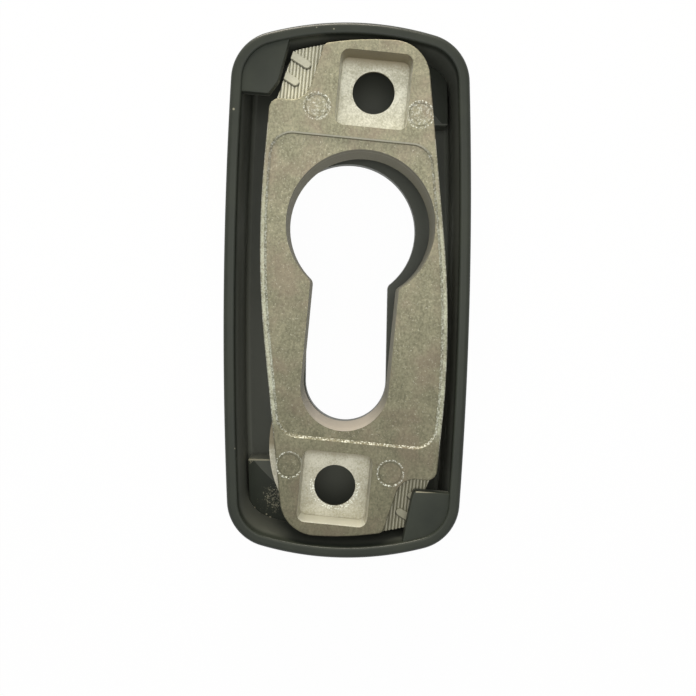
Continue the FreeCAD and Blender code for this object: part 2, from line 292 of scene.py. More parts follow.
def make_piece(name: str, points: Points, faces: list) -> bpy.types.Object:
    """Makes a mesh object whose place is in its mesh, shaded soft but for its sharp edges."""
    mesh = bpy.data.meshes.new(name)
    mesh.from_pydata(points.tolist(), [], faces)
    mesh.validate()
    shade(mesh, Shading.SOFT)
    piece = bpy.data.objects.new(name, mesh)
    bpy.context.scene.collection.objects.link(piece)
    return piece


def ring_piece(name: str, rings: list[Points], closed: bool) -> bpy.types.Object:
    """Makes a piece from rings of points in order: a tube closed on itself, or one with flat ends.

    Args:
        name: the piece's name.
        rings: rings of points in metres, each with the same number of points.
        closed: whether the last ring joins the first; otherwise both ends get one flat face.

    Returns:
        The new object, its faces outwards.
    """
    points = np.concatenate(rings)
    faces = quads(len(rings), len(rings[0]), closed)
    flip = signed_volume(points - points.mean(0), faces) < 0
    listed = (faces[:, ::-1] if flip else faces).tolist()
    if not closed:
        start = list(range(len(rings[0])))
        end = [i + len(points) - len(start) for i in start]
        listed += [start if flip else start[::-1], end[::-1] if flip else end]
    return make_piece(name, points, listed)


def sweep(start: float, end: float, steps: int) -> Points:
    """Angles in radians from one to another in even steps, both ends in."""
    return np.radians(np.linspace(start, end, steps + 1))


@dataclass(frozen=True)
class MouldedPolyamide:
    """Black glass-filled polyamide from a spark-eroded mould: satin, faintly uneven, dusty in its corners, painted
    paler inside as fill light where shade falls, and with painted highlights on two upper edges.
    """

    name: str = "black_glass_filled_polyamide_moulded"
    base: str = "#282c26"
    lighter: str = "#33372f"
    # The inside is painted paler than the rim, and its walls paler still: painted fill light where shade falls.
    inner: str = "#52554e"
    painted_fill_wall: str = "#666962"
    # Pale colour of settled specks and scuffs, also used for the painted highlights on two upper edges.
    dust_and_highlight: str = "#9d9a86"
    # Noises: one over the size of their patches, detail and roughness. The eroded grain of about 0.1 is too fine
    # to show, so it is drawn coarser.
    clouds: tuple = (1 / 6.0, 4.0, 0.6)
    grains: tuple = (1 / 0.35, 2.0, 0.6)
    specks: tuple = (1 / 0.22, 3.0, 0.7)
    clouded: tuple = (0.3, 0.75, 0.0, 1.0)
    satin: tuple = (0.3, 0.7, 0.42, 0.54)
    edge_roughness: float = 0.27
    grain_strength: float = 0.12
    grain_height: float = 0.02
    ior: float = 1.5
    shine: float = 0.22
    # Dust settles where the speck noise passes a level: a slope times the dustiness, plus that of clean parts.
    dust_level: tuple = (-0.44, 0.82)
    settled: tuple = (0.0, 0.12, 0.0, 0.75)
    # Middles (x, y, z) of dusty patches, their radius and how thick the settled specks lie. The core is even.
    dusty: tuple = ((9.2, -7.0, -36.4, 4.2, 0.74), (12.6, -7.3, -30.3, 2.6, 0.8), (-9.6, -7.3, -31.2, 2.4, 0.7),
                    (9.4, -10.6, -33.5, 3.0, 0.35), (-10.0, -10.6, -30.0, 2.5, 0.45),
                    (-12.1, -9.0, -33.7, 1.4, 0.9))
    core_share: float = 0.2
    # Middles (x, y, z) of small scuffs down to the pale core of the moulding, and their radius.
    scuffs: tuple = ((14.17, 0.0, 13.88, 0.2), (13.56, 0.0, -27.9, 0.16), (4.2, 0.0, 23.85, 0.1),
                     (2.1, 0.0, 23.7, 0.12), (12.37, -7.35, -37.97, 0.16), (12.0, -7.35, -37.6, 0.12),
                     (9.88, -7.35, -38.9, 0.2), (10.4, -7.35, -38.5, 0.16), (-12.99, -7.35, 17.72, 0.2))
    scuff_strength: float = 0.9
    # Middles and half sizes (x, y, z) of a pad's and a lug's upper edges that get a painted highlight, and how the
    # painted highlight fades past them.
    painted_edge_highlights: tuple = (((11.6, -7.42, -31.06), (1.5, 0.08, 0.1)),
                            ((-11.0, -0.38, -33.04), (1.9, 0.09, 0.09)))
    edge_fade: tuple = (0.06, 0.0, 0.0, 0.8)
    # Middle and half width in y of the smooth rounds on the rim and on the pads' upper edges.
    rim_edge: tuple = (-0.14, 0.1)
    pad_edge: tuple = (-7.42, 0.06)
    middle: tuple = (0.0, 0.0, -8.5)
    # What tells the inside: the most of n.(x, 0, z), the y where it starts and is full, and the front's y. Then
    # the range of n.(x, 0, z) that is a wall, which gets more painted fill light, and that of z above the lowest
    # wall, which faces the light and gets none more.
    inward_under: float = 0.5
    inside_from: tuple = (-0.6, -2.0, 0.0, 1.0)
    front_y: float = -11.8
    wall_facing: tuple = (-2.0, -5.0, 0.0, 1.0)
    above_foot: tuple = (-38.5, -34.0, 0.0, 1.0)

    def patch(self, tree: Nodes, point: Socket, spot: tuple) -> Socket:
        """How much of a round patch a point has: its strength near the middle, fading to none at its radius."""
        *middle, radius, strength = spot
        away = add_node(tree, "VectorMath", point, tuple(middle), operation="DISTANCE")
        return add_node(tree, "MapRange", away, radius, radius * self.core_share, 0.0, strength,
                        interpolation_type="SMOOTHSTEP")

    def painted_edge_highlight(self, tree: Nodes, point: Socket, middle: tuple, half: tuple) -> Socket:
        """How much painted highlight a point near a box gets: the length of max(|p - m| - h, 0) fades it."""
        off = add_node(tree, "VectorMath", point, middle, operation="SUBTRACT")
        size = add_node(tree, "VectorMath", off, operation="ABSOLUTE")
        past = add_node(tree, "VectorMath", size, half, operation="SUBTRACT")
        most = add_node(tree, "VectorMath", past, (0.0, 0.0, 0.0), operation="MAXIMUM")
        over = add_node(tree, "VectorMath", most, operation="LENGTH")
        return add_node(tree, "MapRange", over, *self.edge_fade)

    def smooth_edge(self, tree: Nodes, y: Socket, inside: Socket) -> Socket:
        """One on the smooth rounds of the rim and, inside, of the pads' upper edges, told by their depth."""
        rim = add_node(tree, "Math", y, *self.rim_edge, operation="COMPARE")
        pad = add_node(tree, "Math", y, *self.pad_edge, operation="COMPARE")
        return add_node(tree, "Math", rim, add_node(tree, "Math", pad, inside, operation="MULTIPLY"),
                        operation="MAXIMUM")

    def inside(self, tree: Nodes, coords: bpy.types.NodeOutputs, y: Socket, z: Socket) -> tuple[Socket, Socket]:
        """Tells the rough surfaces inside the moulding from the rim, the outer walls and the front.

        A surface lies inside where its normal n does not point away from the middle in plan, where n.(x, 0, z)
        is small, and it is deeper than the rim and less deep than the front. Far below none it is one of the
        inner walls. The inside is painted paler as fill light where shade falls, and the walls more so but for the
        lowest one, which faces the light.

        Args:
            tree: the node tree.
            coords: outputs of the texture coordinates.
            y: the point's y in millimetres.
            z: the point's z in millimetres.

        Returns:
            One inside, and one on the walls that get more painted fill light.
        """
        plan = add_node(tree, "Mapping", coords["Object"], inputs={
            "Location": tuple(-v for v in self.middle), "Scale": (1 / MM, 0, 1 / MM)})
        away = add_node(tree, "VectorMath", coords["Normal"], plan, operation="DOT_PRODUCT")
        inward = add_node(tree, "Math", away, self.inward_under, operation="LESS_THAN")
        deep = add_node(tree, "MapRange", y, *self.inside_from, interpolation_type="SMOOTHSTEP")
        behind = add_node(tree, "Math", y, self.front_y, operation="GREATER_THAN")
        wall = add_node(tree, "MapRange", away, *self.wall_facing)
        above = add_node(tree, "MapRange", z, *self.above_foot)
        return (add_node(tree, "Math", inward, deep, behind, operation="MULTIPLY"),
                add_node(tree, "Math", wall, above, operation="MULTIPLY"))

    def build(self) -> bpy.types.Material:
        """Builds the material: clouded satin black with fine grain, painted paler inside as fill light, pale dusty
        specks, scuffs, and painted highlights on two upper edges.
        """
        material, tree = new_material(self.name)
        coords = add_node(tree, "TexCoord").node.outputs
        point = add_node(tree, "Mapping", coords["Object"], inputs={"Scale": (1 / MM,) * 3})
        _, y, z = add_node(tree, "SeparateXYZ", point).node.outputs
        cloud = add_node(tree, "TexNoise", point, *self.clouds)
        grain = add_node(tree, "TexNoise", point, *self.grains)
        speck = add_node(tree, "TexNoise", point, *self.specks)
        inside, on_wall = self.inside(tree, coords, y, z)
        patches = [self.patch(tree, point, spot) for spot in self.dusty]
        dusty = add_node(tree, "Math", *patches, operation="MAXIMUM")
        level = add_node(tree, "Math", dusty, *self.dust_level, operation="MULTIPLY_ADD")
        over = add_node(tree, "Math", speck, level, operation="SUBTRACT")
        # Dusty specks, scuffs, and the painted highlights on a pad's and a lug's upper edges, all in one pale
        # colour.
        pale = add_node(
            tree, "Math", add_node(tree, "MapRange", over, *self.settled),
            *(self.patch(tree, point, (*spot, self.scuff_strength)) for spot in self.scuffs),
            *(self.painted_edge_highlight(tree, point, *edge) for edge in self.painted_edge_highlights), operation="MAXIMUM")
        # Painted fill light: paler inside, and paler still on the walls, where shade falls.
        painted_fill = paint(tree, linear(self.inner), (on_wall, self.painted_fill_wall))
        clouded = add_node(tree, "MapRange", cloud, *self.clouded)
        colour = paint(tree, linear(self.base), (clouded, self.lighter), (inside, painted_fill), (pale, self.dust_and_highlight))
        rough = add_node(tree, "Mix", self.smooth_edge(tree, y, inside),
                         add_node(tree, "MapRange", cloud, *self.satin), self.edge_roughness)
        bump = add_node(tree, "Bump", inputs={
            "Height": grain, "Strength": self.grain_strength, "Distance": self.grain_height * MM})
        add_node(tree, "OutputMaterial", add_node(tree, "BsdfPrincipled", inputs={
            "Base Color": colour, "Roughness": rough, "Normal": bump, "IOR": self.ior,
            "Specular IOR Level": self.shine}))
        return material


@dataclass(frozen=True)
class CastZinc:
    """Raw zinc die-casting alloy: dull warm grey with flow clouds, pits and small spangles, with painted glints and
    edge highlights, and painted shade in its hollows and towards its lower end.

    Places are in the sub-plate's own upright millimetres. A part of the sub-plate is where all its tests hold, on
    x, its size "across", z, its size "high", the depth, and the height over the nearer pocket's middle, "over".
    """

    name: str = "zinc_alloy_die_cast_raw"
    dark: str = "#6f6c59"
    medium: str = "#898771"
    light: str = "#a29e86"
    stain_green: str = "#7b7f6b"
    stain_brown: str = "#85786a"
    # Painted glints on the metal, also the painted highlight on the field's upper crest.
    painted_glint: str = "#cbc9b8"
    pocket_dark: str = "#acaa98"
    pocket_light: str = "#d6d5c7"
    # Painted shade under the pockets' top walls and towards the lower end; the pale pocket colour is also painted
    # on each lower sill as light.
    pocket_shade: str = "#857d68"
    ramp_light: str = "#dddbc9"
    tooth: str = "#c0beab"
    # Painted shade in the ramps' grooves.
    groove_shade: str = "#89866f"
    # Painted shade on the keyhole's bore wall, and painted light at its foot, where the lower wall faces the light.
    wall: str = "#5f5b42"
    bore_foot_light: str = "#b9b0a2"
    # Painted highlights where edges face the light, broken into sparkle.
    spark: str = "#e8ebe2"
    strip: str = "#b7bba8"
    shadow: str = "#4f4d3e"
    low_shade: str = "#c0bfb9"
    turn: float = 4.66
    middle: tuple = (-0.9, 0.0, -8.12)

    # Noises: one over the size of their patches, detail, roughness, and the clouds' lacunarity and distortion. The
    # spangles are finer than the picture's pixels, so they are drawn coarser. Streaks have a stretch per axis.
    clouds: tuple = (1 / 2.6, 5.0, 0.55, 2.0, 0.4)
    grains: tuple = (1 / 0.3, 2.0, 0.6)
    sparks: tuple = (1 / 0.22, 2.0, 0.7)
    stains: tuple = (1 / 5.5, 3.0, 0.6)
    streaks: tuple = (1.0, 4.0, 0.65)
    streak_stretch: tuple = (2.6, 2.6, 1.3)
    # Shares of clouds, streaks and grain in the metal's tone, and of clouds, grain and sparks in the pockets'.
    tone_shares: tuple = (0.25, 0.3, 0.45)
    speckle_shares: tuple = (0.35, 0.3, 0.35)
    # Ranges over a noise.
    to_medium: tuple = (0.4, 0.5, 0.0, 1.0)
    to_light: tuple = (0.5, 0.6, 0.0, 1.0)
    stained: tuple = (0.42, 0.66, 0.12, 0.5)
    browned: tuple = (0.4, 0.6, 0.0, 1.0)
    # The painted glints, where the spark noise is high.
    glinting: tuple = (0.63, 0.72, 0.0, 0.7)
    bright: tuple = (0.42, 0.58, 0.0, 1.0)
    veiled: tuple = (0.44, 0.56, 0.2, 0.95)
    broken: tuple = (0.5, 0.62, 0.0, 0.85)
    roughness: tuple = (0.3, 0.7, 0.58, 0.7)
    # Ranges over z: the painted shade that darkens the lower end, the bore's foot with its painted light, the
    # field's upper edge and the strip's lower run.
    low: tuple = (20.0, -31.0, 0.0, 1.0)
    at_foot: tuple = (-13.0, -16.5, 0.0, 1.0)
    at_top: tuple = (17.4, 18.6, 0.0, 1.0)
    lower_run: tuple = (16.0, 2.0, 0.15, 0.8)
    # Ranges over the size of z, the height over a pocket's middle, for the painted shadow under its top wall, and
    # the depth between the ramps' ribs, for the painted shade in the grooves, and on them.
    inner_run: tuple = (17.8, 15.4, 0.0, 1.0)
    top_wall_shadow: tuple = (3.0, 4.3, 0.0, 0.95)
    groove: tuple = (2.07, 2.15, 0.0, 1.0)
    raised: tuple = (1.97, 1.92, 0.0, 1.0)

    # Parts: a pocket and its middle's height, a ramp, the keyhole's wall, the gate's stub, the field's slope with
    # its crest, foot and low end, the flat back, the border strip, a pocket's low sill and its lip, and where the
    # burr of the lower hole may lie. The crest gets a painted highlight, the foot a painted shadow, the sill
    # painted light and the lip a painted highlight.
    pocket_place: float = 24.75
    pocket: tuple = (("x", Test.ABOUT, 0.0, 4.8), ("high", Test.ABOUT, 24.75, 4.9),
                     ("depth", Test.ABOUT, 1.4, 1.27))
    ramp: tuple = (("depth", Test.ABOUT, 2.0, 0.19),)
    bore: tuple = (("across", Test.UNDER, 9.3), ("high", Test.UNDER, 17.6), ("depth", Test.OVER, 0.45))
    stub: tuple = (("z", Test.UNDER, -16.0), ("x", Test.OVER, 6.5), ("depth", Test.ABOUT, 4.7, 1.9))
    slope: tuple = (("depth", Test.ABOUT, 0.175, 0.155), ("high", Test.UNDER, 19.5))
    crest: tuple = (("depth", Test.ABOUT, 0.11, 0.1),)
    foot: tuple = (("depth", Test.ABOUT, 0.27, 0.06),)
    low_end: tuple = (("z", Test.UNDER, -17.4),)
    flat: tuple = (("depth", Test.UNDER, 0.15),)
    border: tuple = (("depth", Test.UNDER, 0.33),)
    sill: tuple = (("over", Test.UNDER, -4.1), ("depth", Test.UNDER, 2.45))
    lip: tuple = (("depth", Test.UNDER, 0.5),)
    burr_side: tuple = (("over", Test.UNDER, 0.4),)
    upper_half: tuple = (("z", Test.OVER, 0.0),)
    # The lower screw hole's axis, and the middle and half width of its burr's radius.
    low_hole: tuple = (0.0, 0.0, -25.0)
    burr: tuple = (2.9, 0.3)
    # Inner ends (x, z) of the upper ramp's teeth, their lean from level, length and half width, the half width of
    # the painted shadow line under each, and how far below its axis the line starts and is full.
    tooth_ends: tuple = ((8.6, 27.45), (9.85, 25.2))
    tooth_lean: float = 27.0
    tooth_length: float = 4.1
    tooth_edge: tuple = (0.5, 0.11)
    tooth_under: tuple = (0.1, -0.2, 0.0, 1.0)
    # Middles (x, z) of the ejector pins' marks, their radius and the width of the line round each. The painted
    # highlight line is full below a share of the width; the painted shadow line lies two widths further in and is
    # one wide.
    pins: tuple = ((6.75, 22.1), (-5.95, 22.3), (-6.75, -22.1), (5.95, -22.3))
    pin_radius: float = 1.62
    pin_line: float = 0.13
    pin_full_share: float = 0.4
    # How strong each look is, each one painted light or shade: shadow lines under the teeth, shade at the low end,
    # the sill's light, the bore's shade and light, the crest's highlight, the foot's and the pins' shadow lines,
    # and highlight sparkle in the pins and on the slope.
    tooth_shadow: float = 0.7
    low_shade_share: float = 0.34
    sill_light: float = 0.8
    bore_shade_and_light: float = 0.85
    crest_highlight: float = 0.7
    foot_shadow: float = 0.6
    pin_shadow: float = 0.55
    pin_speckle: float = 0.35
    slope_sparks: float = 0.6
    # Slope and level of the metallic share over the bore and of the spangles' relief over a pocket, the relief that
    # the pins' marks add, and the bump's strength and height.
    metallic: tuple = (-0.15, 0.65)
    pocket_relief: tuple = (0.4, 0.25)
    pin_relief: float = 0.7
    bump_strength: float = 0.45
    bump_height: float = 0.04

    def places(self, tree: Nodes) -> dict[str, Socket]:
        """The sockets that the tests and ranges read, and the whole point, by name."""
        coords = add_node(tree, "TexCoord").node.outputs
        point = add_node(tree, "Mapping", coords["Object"], tuple(v * MM for v in self.middle),
                         (0.0, -math.radians(self.turn), 0.0), (MM, MM, MM), vector_type="TEXTURE")
        x, y, z = add_node(tree, "SeparateXYZ", point).node.outputs
        high = add_node(tree, "Math", z, operation="ABSOLUTE")
        sign = add_node(tree, "Math", z, operation="SIGN")
        rise = add_node(tree, "Math", high, self.pocket_place, operation="SUBTRACT")
        return {"point": point, "x": x, "z": z, "high": high, "sign": sign,
                "across": add_node(tree, "Math", x, operation="ABSOLUTE"),
                "depth": add_node(tree, "Math", y, -1.0, operation="MULTIPLY"),
                "over": add_node(tree, "Math", rise, sign, operation="MULTIPLY"),
                "plan": add_node(tree, "CombineXYZ", inputs={"X": x, "Z": z})}

    def noises(self, tree: Nodes, point: Socket) -> dict[str, Socket]:
        """The material's noises, by name."""
        made = {name: add_node(tree, "TexNoise", point, *noise) for name, noise in (
            ("cloud", self.clouds), ("grain", self.grains), ("spark", self.sparks), ("stain", self.stains))}
        drawn = add_node(tree, "Mapping", point, inputs={"Scale": self.streak_stretch})
        made["streak"] = add_node(tree, "TexNoise", drawn, *self.streaks)
        made["speckle"] = self.blend(tree, self.speckle_shares, made["cloud"], made["grain"], made["spark"])
        return made

    def blend(self, tree: Nodes, shares: tuple, *noises: Socket) -> Socket:
        """Adds up noises by their shares."""
        total = 0.0
        for share, noise in zip(shares, noises):
            total = add_node(tree, "Math", noise, share, total, operation="MULTIPLY_ADD")
        return total

    def part(self, tree: Nodes, at: dict[str, Socket], tests: tuple, *factors: Value) -> Socket:
        """How much of a look there is on a part: one where all its tests hold, times the factors."""
        held = [add_node(tree, "Math", at[axis], *bounds, operation=test.value)
                for axis, test, *bounds in tests]
        return add_node(tree, "Math", 1.0, *held, *factors, operation="MULTIPLY")

    def tooth_lines(self, tree: Nodes, at: dict[str, Socket]) -> Socket:
        """Painted shadow lines under the teeth's lower edges and round their inner ends.

        The lower ramp is the upper one turned by half a turn, so the place p is multiplied by the sign of z. For
        a tooth from a along u, v = p - a - u clamp((p - a).u, 0, length) and the line is where |v| is nearly the
        half width and v points down in the picture.
        """
        turned = add_node(tree, "VectorMath", at["plan"], at["sign"], operation="SCALE")
        lean = math.radians(self.tooth_lean)
        along = (math.cos(lean), 0.0, math.sin(lean))
        lines = []
        for x, z in self.tooth_ends:
            off = add_node(tree, "VectorMath", turned, (x, 0.0, z), operation="SUBTRACT")
            run = add_node(tree, "VectorMath", off, along, operation="DOT_PRODUCT")
            held = add_node(tree, "Clamp", run, 0.0, self.tooth_length)
            foot = add_node(tree, "VectorMath", along, held, operation="SCALE")
            aside = add_node(tree, "VectorMath", off, foot, operation="SUBTRACT")
            reach = add_node(tree, "VectorMath", aside, operation="LENGTH")
            edge = add_node(tree, "Math", reach, *self.tooth_edge, operation="COMPARE")
            rise = add_node(tree, "SeparateXYZ", aside).node.outputs["Z"]
            down = add_node(tree, "MapRange", add_node(tree, "Math", rise, at["sign"], operation="MULTIPLY"),
                            *self.tooth_under)
            lines.append(add_node(tree, "Math", edge, down, operation="MULTIPLY"))
        return add_node(tree, "Math", *lines, operation="MAXIMUM")

    def pin_rings(self, tree: Nodes, at: dict[str, Socket]) -> tuple[Socket, Socket, Socket]:
        """The ejector pins' marks, told by the distance in plan to the nearest pin's axis.

        Returns:
            The painted highlight line at the radius, the painted shadow line within it and the inside.
        """
        away = [add_node(tree, "VectorMath", at["plan"], (x, 0.0, z), operation="DISTANCE")
                for x, z in self.pins]
        nearest = add_node(tree, "Math", *away, operation="MINIMUM")
        gap = add_node(tree, "Math", nearest, self.pin_radius, operation="SUBTRACT")
        off = add_node(tree, "Math", gap, operation="ABSOLUTE")
        width = self.pin_line
        line = add_node(tree, "MapRange", off, width, width * self.pin_full_share, 0.0, 1.0)
        dark = add_node(tree, "Math", nearest, self.pin_radius - 2 * width, width / 2, operation="COMPARE")
        return line, dark, add_node(tree, "Math", nearest, self.pin_radius, operation="LESS_THAN")

    def metal(self, tree: Nodes, noise: dict[str, Socket]) -> Socket:
        """The bare metal: clouds, streaks and grain of three tones, stains of two hues, and painted glints."""
        tone = self.blend(tree, self.tone_shares, noise["cloud"], noise["streak"], noise["grain"])
        hue = add_node(tree, "MapRange", noise["stain"], *self.browned)
        tint = paint(tree, linear(self.stain_green), (hue, self.stain_brown))
        return paint(tree, linear(self.dark),
                     (add_node(tree, "MapRange", tone, *self.to_medium), self.medium),
                     (add_node(tree, "MapRange", tone, *self.to_light), self.light),
                     (add_node(tree, "MapRange", noise["stain"], *self.stained), tint),
                     (add_node(tree, "MapRange", noise["spark"], *self.glinting), self.painted_glint))

    def ribs(self, tree: Nodes, at: dict[str, Socket]) -> Socket:
        """The ramps: pale ribs, painted shade in the grooves, and teeth with a painted shadow line under each."""
        lines = add_node(tree, "Math", self.tooth_lines(tree, at), self.tooth_shadow, operation="MULTIPLY")
        return paint(tree, linear(self.ramp_light),
                     (add_node(tree, "MapRange", at["depth"], *self.groove), self.groove_shade),
                     (add_node(tree, "MapRange", at["depth"], *self.raised), self.tooth), (lines, self.shadow))

    def pocket_floor(self, tree: Nodes, at: dict[str, Socket], speckle: Socket, low: Socket) -> Socket:
        """The pockets: bright and speckled, with painted shade under the top wall and towards the low end, and the
        lower sill painted light.
        """
        # Painted shade under the pocket's top wall and towards the low end.
        dull = add_node(tree, "Math", low, self.low_shade_share, operation="MULTIPLY")
        dull = add_node(tree, "Math", add_node(tree, "MapRange", at["over"], *self.top_wall_shadow), dull,
                        operation="MAXIMUM")
        return paint(tree, linear(self.pocket_dark),
                     (add_node(tree, "MapRange", speckle, *self.bright), self.pocket_light),
                     (dull, self.pocket_shade),
                     (self.part(tree, at, self.sill, self.sill_light), self.pocket_light))

    def build(self) -> bpy.types.Material:
        """Builds the material from the bare metal up: ramps, painted shade at the low end, pockets, the bore's
        painted shade and light, stub, painted edge highlights and shadows, and painted sparkle.
        """
        material, tree = new_material(self.name)
        at = self.places(tree)
        noise = self.noises(tree, at["point"])
        low = add_node(tree, "MapRange", at["z"], *self.low)
        in_pocket = self.part(tree, at, self.pocket)
        on_wall = self.part(tree, at, self.bore)
        slope = self.part(tree, at, self.slope)
        flat = self.part(tree, at, self.flat)
        at_top = add_node(tree, "MapRange", at["z"], *self.at_top)
        at_ends = add_node(tree, "Math", at_top, self.part(tree, at, self.low_end), operation="MAXIMUM")
        below_top = add_node(tree, "Math", 1.0, at_top, operation="SUBTRACT")
        line, pin_shadow_line, in_pin = self.pin_rings(tree, at)
        pocket = self.pocket_floor(tree, at, noise["speckle"], low)
        at_foot = add_node(tree, "MapRange", at["z"], *self.at_foot)
        strip = self.part(tree, at, self.border, add_node(tree, "MapRange", at["high"], *self.inner_run),
                          add_node(tree, "MapRange", at["z"], *self.lower_run),
                          add_node(tree, "MapRange", noise["speckle"], *self.veiled))
        near_hole = add_node(tree, "VectorMath", at["plan"], self.low_hole, operation="DISTANCE")
        burred = self.part(tree, at, self.burr_side, in_pocket,
                           add_node(tree, "Math", near_hole, *self.burr, operation="COMPARE"))
        # Bright broken sparkle: painted highlights on the field's slope, the pins' lines and upper insides and the
        # pockets' lower lips, and a bright ring about the lower hole.
        painted_sparkle = add_node(
            tree, "Math", self.part(tree, at, (), slope, below_top, self.slope_sparks),
            self.part(tree, at, (), line, flat), burred,
            self.part(tree, at, self.upper_half, in_pin, flat, self.pin_speckle),
            self.part(tree, at, self.lip + self.sill, in_pocket), operation="MAXIMUM")
        broken = add_node(tree, "MapRange", noise["spark"], *self.broken)
        colour = paint(tree, self.metal(tree, noise), (self.part(tree, at, self.ramp), self.ribs(tree, at)))
        # Painted shade: darker towards the lower end, where less light falls.
        colour = add_node(tree, "Mix", low, colour, linear(self.low_shade), data_type="RGBA",
                          blend_type="MULTIPLY")
        # The pockets; the bore's painted shade with painted light at its foot; the stub; the crest's painted
        # highlight; the painted shadow lines at the field's foot and in the pins; the border strip; and the painted
        # sparkle.
        colour = paint(tree, colour, (in_pocket, pocket),
                       (self.part(tree, at, (), on_wall, self.bore_shade_and_light),
                        paint(tree, linear(self.wall), (at_foot, self.bore_foot_light))),
                       (self.part(tree, at, self.stub), pocket),
                       (self.part(tree, at, self.crest, slope, at_top, self.crest_highlight), self.painted_glint),
                       (self.part(tree, at, self.foot, slope, at_ends, self.foot_shadow), self.shadow),
                       (self.part(tree, at, (), pin_shadow_line, flat, self.pin_shadow), self.shadow),
                       (strip, self.strip),
                       (self.part(tree, at, (), painted_sparkle, broken), self.spark))
        in_mark = self.part(tree, at, (), in_pin, flat)
        spangles = add_node(tree, "Math", in_mark, self.pin_relief,
                            add_node(tree, "Math", in_pocket, *self.pocket_relief, operation="MULTIPLY_ADD"),
                            operation="MULTIPLY_ADD")
        relief = add_node(tree, "Math", noise["spark"], spangles, noise["grain"], operation="MULTIPLY_ADD")
        bump = add_node(tree, "Bump", inputs={
            "Height": relief, "Strength": self.bump_strength, "Distance": self.bump_height * MM})
        add_node(tree, "OutputMaterial", add_node(tree, "BsdfPrincipled", inputs={
            "Base Color": colour, "Roughness": add_node(tree, "MapRange", noise["grain"], *self.roughness),
            "Metallic": add_node(tree, "Math", on_wall, *self.metallic, operation="MULTIPLY_ADD"),
            "Normal": bump}))
        return material


@dataclass(frozen=True)
class PaleTable:
    """Smooth white card under the object, lit from its upper side only and clear from below."""

    name: str = "white_card"
    colour: str = "#f4f4f2"
    white: str = "#ffffff"
    glow_share: float = 0.975

    def build(self) -> bpy.types.Material:
        """Builds the material: white card that the camera sees nearly unshaded."""
        material, tree = new_material(self.name)
        share = add_node(tree, "Math", seen_rays(tree), self.glow_share, operation="MULTIPLY")
        lit = add_node(tree, "MixShader", share, add_node(tree, "BsdfDiffuse", linear(self.colour)),
                       add_node(tree, "Emission", linear(self.white), 1.0))
        side = add_node(tree, "NewGeometry").node.outputs
        add_node(tree, "OutputMaterial", add_node(tree, "MixShader", side["Backfacing"], lit,
                                                  add_node(tree, "BsdfTransparent")))
        return material


